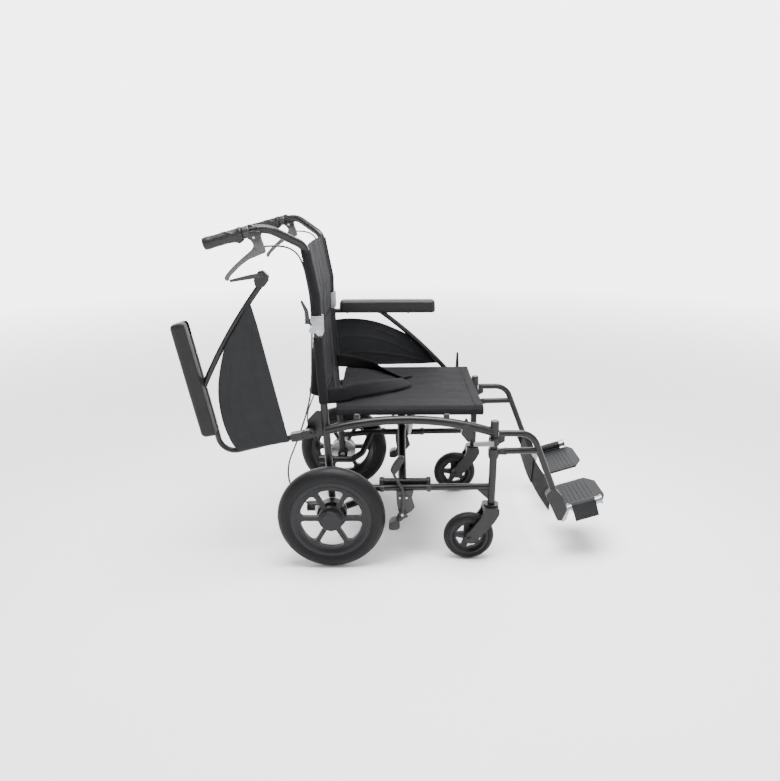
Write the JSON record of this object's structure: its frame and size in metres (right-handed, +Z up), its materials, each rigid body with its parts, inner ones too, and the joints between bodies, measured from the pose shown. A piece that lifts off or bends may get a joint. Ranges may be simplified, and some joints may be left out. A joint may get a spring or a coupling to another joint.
{
  "type": "transport wheelchair",
  "caption": "Folding transport wheelchair with small spoked rear wheels, casters, swing-away footrests, flip-back armrests, a half-folding back and hand brakes.",
  "frame": {"origin": "middle of the overall length and width, at floor level", "axes": "+X forward, the way the occupant faces; +Y to the occupant's left; +Z up"},
  "size_m": [1.2426, 0.6256, 0.999],
  "materials": {
    "frame": "satin powder coat",
    "lever_black": "satin",
    "moulding": "fine grain",
    "wheel_rim": "satin moulding",
    "tyre": "matt",
    "silver": "satin",
    "steel": "satin",
    "grip": "ribbed",
    "arm_pad": "fine leather grain",
    "brake_lever": "satin",
    "latch_grey": "satin",
    "cable": "satin",
    "fabric": "plain weave",
    "webbing": "woven webbing"
  },
  "bodies": {
    "frame_right": {"side_frame_right": "frame", "frame_clamps_right": "moulding", "back_hinge_right": "silver", "drum_brake_right": "steel", "lock_bracket_right": "lever_black", "brake_cable_right": "cable", "back_lower": "fabric", "lap_belt_right": "webbing"},
    "brace_a": {"brace_a": "frame", "pivot_bolt": "steel", "seat_sling": "fabric"},
    "brace_b": {"brace_b": "frame"},
    "frame_left": {"side_frame_left": "frame", "frame_clamps_left": "moulding", "back_hinge_left": "silver", "drum_brake_left": "steel", "lock_bracket_left": "lever_black", "brake_cable_left": "cable", "lap_belt_left": "webbing"},
    "rear_wheel_right": {"rear_tyre_right": "tyre", "rear_rim_right": "wheel_rim"},
    "caster_right": {"caster_fork_right": "frame"},
    "caster_wheel_right": {"caster_rim_right": "wheel_rim", "caster_tyre_right": "tyre"},
    "armrest_right": {"arm_frame_right": "frame", "arm_pad_right": "arm_pad", "arm_panel_right": "moulding"},
    "arm_latch_right": {"arm_latch_right": "lever_black"},
    "hanger_right": {"hanger_right": "frame", "footrest_bar_right": "silver", "calf_strap_right": "fabric"},
    "hanger_latch_right": {"hanger_latch_right": "latch_grey"},
    "footplate_right": {"footplate_right": "moulding"},
    "wheel_lock_right": {"lock_lever_right": "lever_black"},
    "back_right": {"upper_cane_right": "frame", "push_grip_right": "grip", "brake_clamp_right": "lever_black", "back_upper": "fabric"},
    "back_release_right": {"back_release_lever_right": "lever_black"},
    "brake_lever_right": {"brake_lever_right": "brake_lever"},
    "rear_wheel_left": {"rear_tyre_left": "tyre", "rear_rim_left": "wheel_rim"},
    "caster_left": {"caster_fork_left": "frame"},
    "caster_wheel_left": {"caster_rim_left": "wheel_rim", "caster_tyre_left": "tyre"},
    "armrest_left": {"arm_frame_left": "frame", "arm_pad_left": "arm_pad", "arm_panel_left": "moulding"},
    "arm_latch_left": {"arm_latch_left": "lever_black"},
    "hanger_left": {"hanger_left": "frame", "footrest_bar_left": "silver", "calf_strap_left": "fabric"},
    "hanger_latch_left": {"hanger_latch_left": "latch_grey"},
    "footplate_left": {"footplate_left": "moulding"},
    "wheel_lock_left": {"lock_lever_left": "lever_black"},
    "back_left": {"upper_cane_left": "frame", "push_grip_left": "grip", "brake_clamp_left": "lever_black"},
    "back_release_left": {"back_release_lever_left": "lever_black"},
    "brake_lever_left": {"brake_lever_left": "brake_lever"}
  },
  "joints": [
    {"name": "fold", "type": "hinge", "parent": "frame_right", "child": "brace_a", "pos_m": [0.0168, -0.205, 0.243], "axis": [1, 0, 0], "range_deg": [0, 47], "deforming": ["seat_sling", "back_lower", "back_upper", "lap_belt_right", "lap_belt_left", "calf_strap_right", "calf_strap_left"]},
    {"name": "brace_cross", "type": "hinge", "parent": "brace_a", "child": "brace_b", "pos_m": [0.0168, 0, 0.3565], "axis": [1, 0, 0], "range_deg": [-94.5, 0]},
    {"name": "brace_foot_left", "type": "hinge", "parent": "brace_b", "child": "frame_left", "pos_m": [0.0168, 0.205, 0.243], "axis": [1, 0, 0], "range_deg": [0, 47.5]},
    {"name": "rear_wheel_spin_right", "type": "hinge", "parent": "frame_right", "child": "rear_wheel_right", "pos_m": [-0.2062, -0.265, 0.159], "axis": [0, 1, 0], "continuous": true},
    {"name": "caster_swivel_right", "type": "hinge", "parent": "frame_right", "child": "caster_right", "pos_m": [0.2678, -0.228, 0.2], "axis": [0, 0, 1], "continuous": true},
    {"name": "caster_spin_right", "type": "hinge", "parent": "caster_right", "child": "caster_wheel_right", "pos_m": [0.2038, -0.228, 0.076], "axis": [0, 1, 0], "continuous": true},
    {"name": "armrest_flip_right", "type": "hinge", "parent": "frame_right", "child": "armrest_right", "pos_m": [-0.2592, -0.24, 0.413], "axis": [0, 1, 0], "range_deg": [0, 100.5]},
    {"name": "arm_latch_pull_right", "type": "hinge", "parent": "armrest_right", "child": "arm_latch_right", "pos_m": [-0.37129, -0.256, 0.86413], "axis": [0, -1, 0], "range_deg": [0, 12], "stiffness_Nm_per_rad": 0.6, "springref_deg": -17.19},
    {"name": "hanger_swing_right", "type": "hinge", "parent": "frame_right", "child": "hanger_right", "pos_m": [0.2678, -0.228, 0.366], "axis": [0, 0, -1], "range_deg": [0, 90]},
    {"name": "hanger_latch_pull_right", "type": "hinge", "parent": "hanger_right", "child": "hanger_latch_right", "pos_m": [0.2598, -0.2495, 0.383], "axis": [0, 0, 1], "range_deg": [0, 16], "stiffness_Nm_per_rad": 0.4, "springref_deg": -17.19},
    {"name": "footplate_flip_right", "type": "hinge", "parent": "hanger_right", "child": "footplate_right", "pos_m": [0.5438, -0.22, 0.17487], "axis": [0.9537, 0, 0.3007], "range_deg": [0, 90.5]},
    {"name": "wheel_lock_turn_right", "type": "hinge", "parent": "frame_right", "child": "wheel_lock_right", "pos_m": [0.0018, -0.249, 0.158], "axis": [0, 1, 0], "range_deg": [0, 18]},
    {"name": "back_fold_right", "type": "hinge", "parent": "frame_right", "child": "back_right", "pos_m": [-0.2482, -0.21, 0.719], "axis": [0, -1, 0], "range_deg": [0, 70], "deforming": ["brake_cable_right"]},
    {"name": "back_release_pull_right", "type": "hinge", "parent": "back_right", "child": "back_release_right", "pos_m": [-0.2602, -0.21, 0.732], "axis": [0, -1, 0], "range_deg": [0, 12], "stiffness_Nm_per_rad": 0.4, "springref_deg": -17.19},
    {"name": "brake_squeeze_right", "type": "hinge", "parent": "back_right", "child": "brake_lever_right", "pos_m": [-0.3742, -0.291, 0.955], "axis": [0, 1, 0], "range_deg": [0, 18], "stiffness_Nm_per_rad": 1.5, "springref_deg": -17.19},
    {"name": "rear_wheel_spin_left", "type": "hinge", "parent": "frame_left", "child": "rear_wheel_left", "pos_m": [-0.2062, 0.265, 0.159], "axis": [0, 1, 0], "continuous": true},
    {"name": "caster_swivel_left", "type": "hinge", "parent": "frame_left", "child": "caster_left", "pos_m": [0.2678, 0.228, 0.2], "axis": [0, 0, 1], "continuous": true},
    {"name": "caster_spin_left", "type": "hinge", "parent": "caster_left", "child": "caster_wheel_left", "pos_m": [0.2038, 0.228, 0.076], "axis": [0, 1, 0], "continuous": true},
    {"name": "armrest_flip_left", "type": "hinge", "parent": "frame_left", "child": "armrest_left", "pos_m": [-0.2592, 0.24, 0.413], "axis": [0, 1, 0], "range_deg": [-100.5, 0]},
    {"name": "arm_latch_pull_left", "type": "hinge", "parent": "armrest_left", "child": "arm_latch_left", "pos_m": [0.2048, 0.256, 0.441], "axis": [0, -1, 0], "range_deg": [0, 12], "stiffness_Nm_per_rad": 0.6, "springref_deg": -17.19},
    {"name": "hanger_swing_left", "type": "hinge", "parent": "frame_left", "child": "hanger_left", "pos_m": [0.2678, 0.228, 0.366], "axis": [0, 0, 1], "range_deg": [0, 90]},
    {"name": "hanger_latch_pull_left", "type": "hinge", "parent": "hanger_left", "child": "hanger_latch_left", "pos_m": [0.2598, 0.2495, 0.383], "axis": [0, 0, -1], "range_deg": [0, 16], "stiffness_Nm_per_rad": 0.4, "springref_deg": -17.19},
    {"name": "footplate_flip_left", "type": "hinge", "parent": "hanger_left", "child": "footplate_left", "pos_m": [0.5438, 0.22, 0.17487], "axis": [-0.9537, 0, -0.3007], "range_deg": [0, 90.5]},
    {"name": "wheel_lock_turn_left", "type": "hinge", "parent": "frame_left", "child": "wheel_lock_left", "pos_m": [0.0018, 0.249, 0.158], "axis": [0, 1, 0], "range_deg": [0, 18]},
    {"name": "back_fold_left", "type": "hinge", "parent": "frame_left", "child": "back_left", "pos_m": [-0.2482, 0.21, 0.719], "axis": [0, -1, 0], "range_deg": [0, 70.5], "deforming": ["brake_cable_left"]},
    {"name": "back_release_pull_left", "type": "hinge", "parent": "back_left", "child": "back_release_left", "pos_m": [-0.2602, 0.21, 0.732], "axis": [0, -1, 0], "range_deg": [0, 12], "stiffness_Nm_per_rad": 0.4, "springref_deg": -17.19},
    {"name": "brake_squeeze_left", "type": "hinge", "parent": "back_left", "child": "brake_lever_left", "pos_m": [-0.3742, 0.291, 0.955], "axis": [0, 1, 0], "range_deg": [0, 18], "stiffness_Nm_per_rad": 1.5, "springref_deg": -17.19}
  ],
  "couplings": [
    {"joint": "brace_cross", "follows": "fold", "ratio": -2},
    {"joint": "brace_foot_left", "follows": "fold", "ratio": 1},
    {"joint": "footplate_flip_right", "follows": "fold", "ratio": 1.9149},
    {"joint": "footplate_flip_left", "follows": "fold", "ratio": 1.9149},
    {"joint": "back_fold_left", "follows": "back_fold_right", "ratio": 1}
  ]
}
